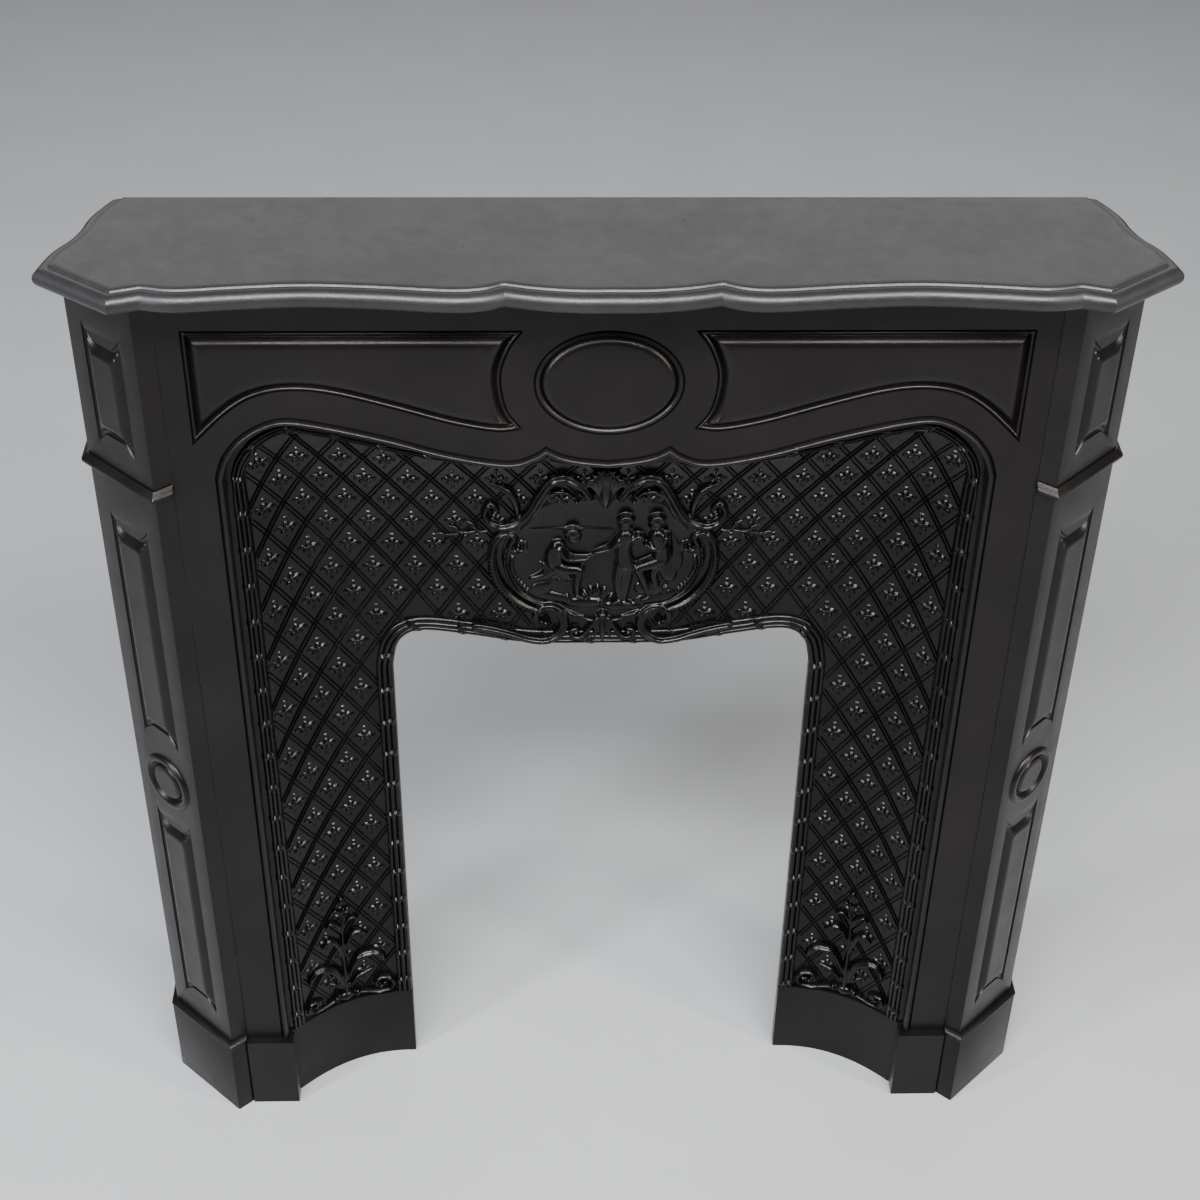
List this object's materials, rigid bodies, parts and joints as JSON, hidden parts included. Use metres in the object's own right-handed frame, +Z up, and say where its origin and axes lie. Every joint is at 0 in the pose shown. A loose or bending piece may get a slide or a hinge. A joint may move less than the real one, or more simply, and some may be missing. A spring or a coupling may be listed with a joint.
{
  "type": "fireplace surround",
  "caption": "Cast-iron fireplace surround with serpentine shelf, canted panelled pilasters and a coved lattice insert with a cherub cartouche around the fire opening.",
  "frame": {"origin": "on the floor under the middle of the surround's bounding box", "axes": "+Z up, +Y from the front towards the wall, +X to the right seen from the front"},
  "size_m": [0.987, 0.1804, 1.11],
  "materials": {
    "graphite_iron": "graphite-polished casting, satin grey sheen",
    "black_iron": "black grate polish over fine cast grain, satin",
    "gloss_black_iron": "black polish, glossier on the raised ornament"
  },
  "bodies": {
    "root": {"shelf": "graphite_iron", "front_plate": "black_iron", "pilaster_left": "black_iron", "pilaster_right": "black_iron", "insert": "gloss_black_iron"}
  },
  "joints": []
}
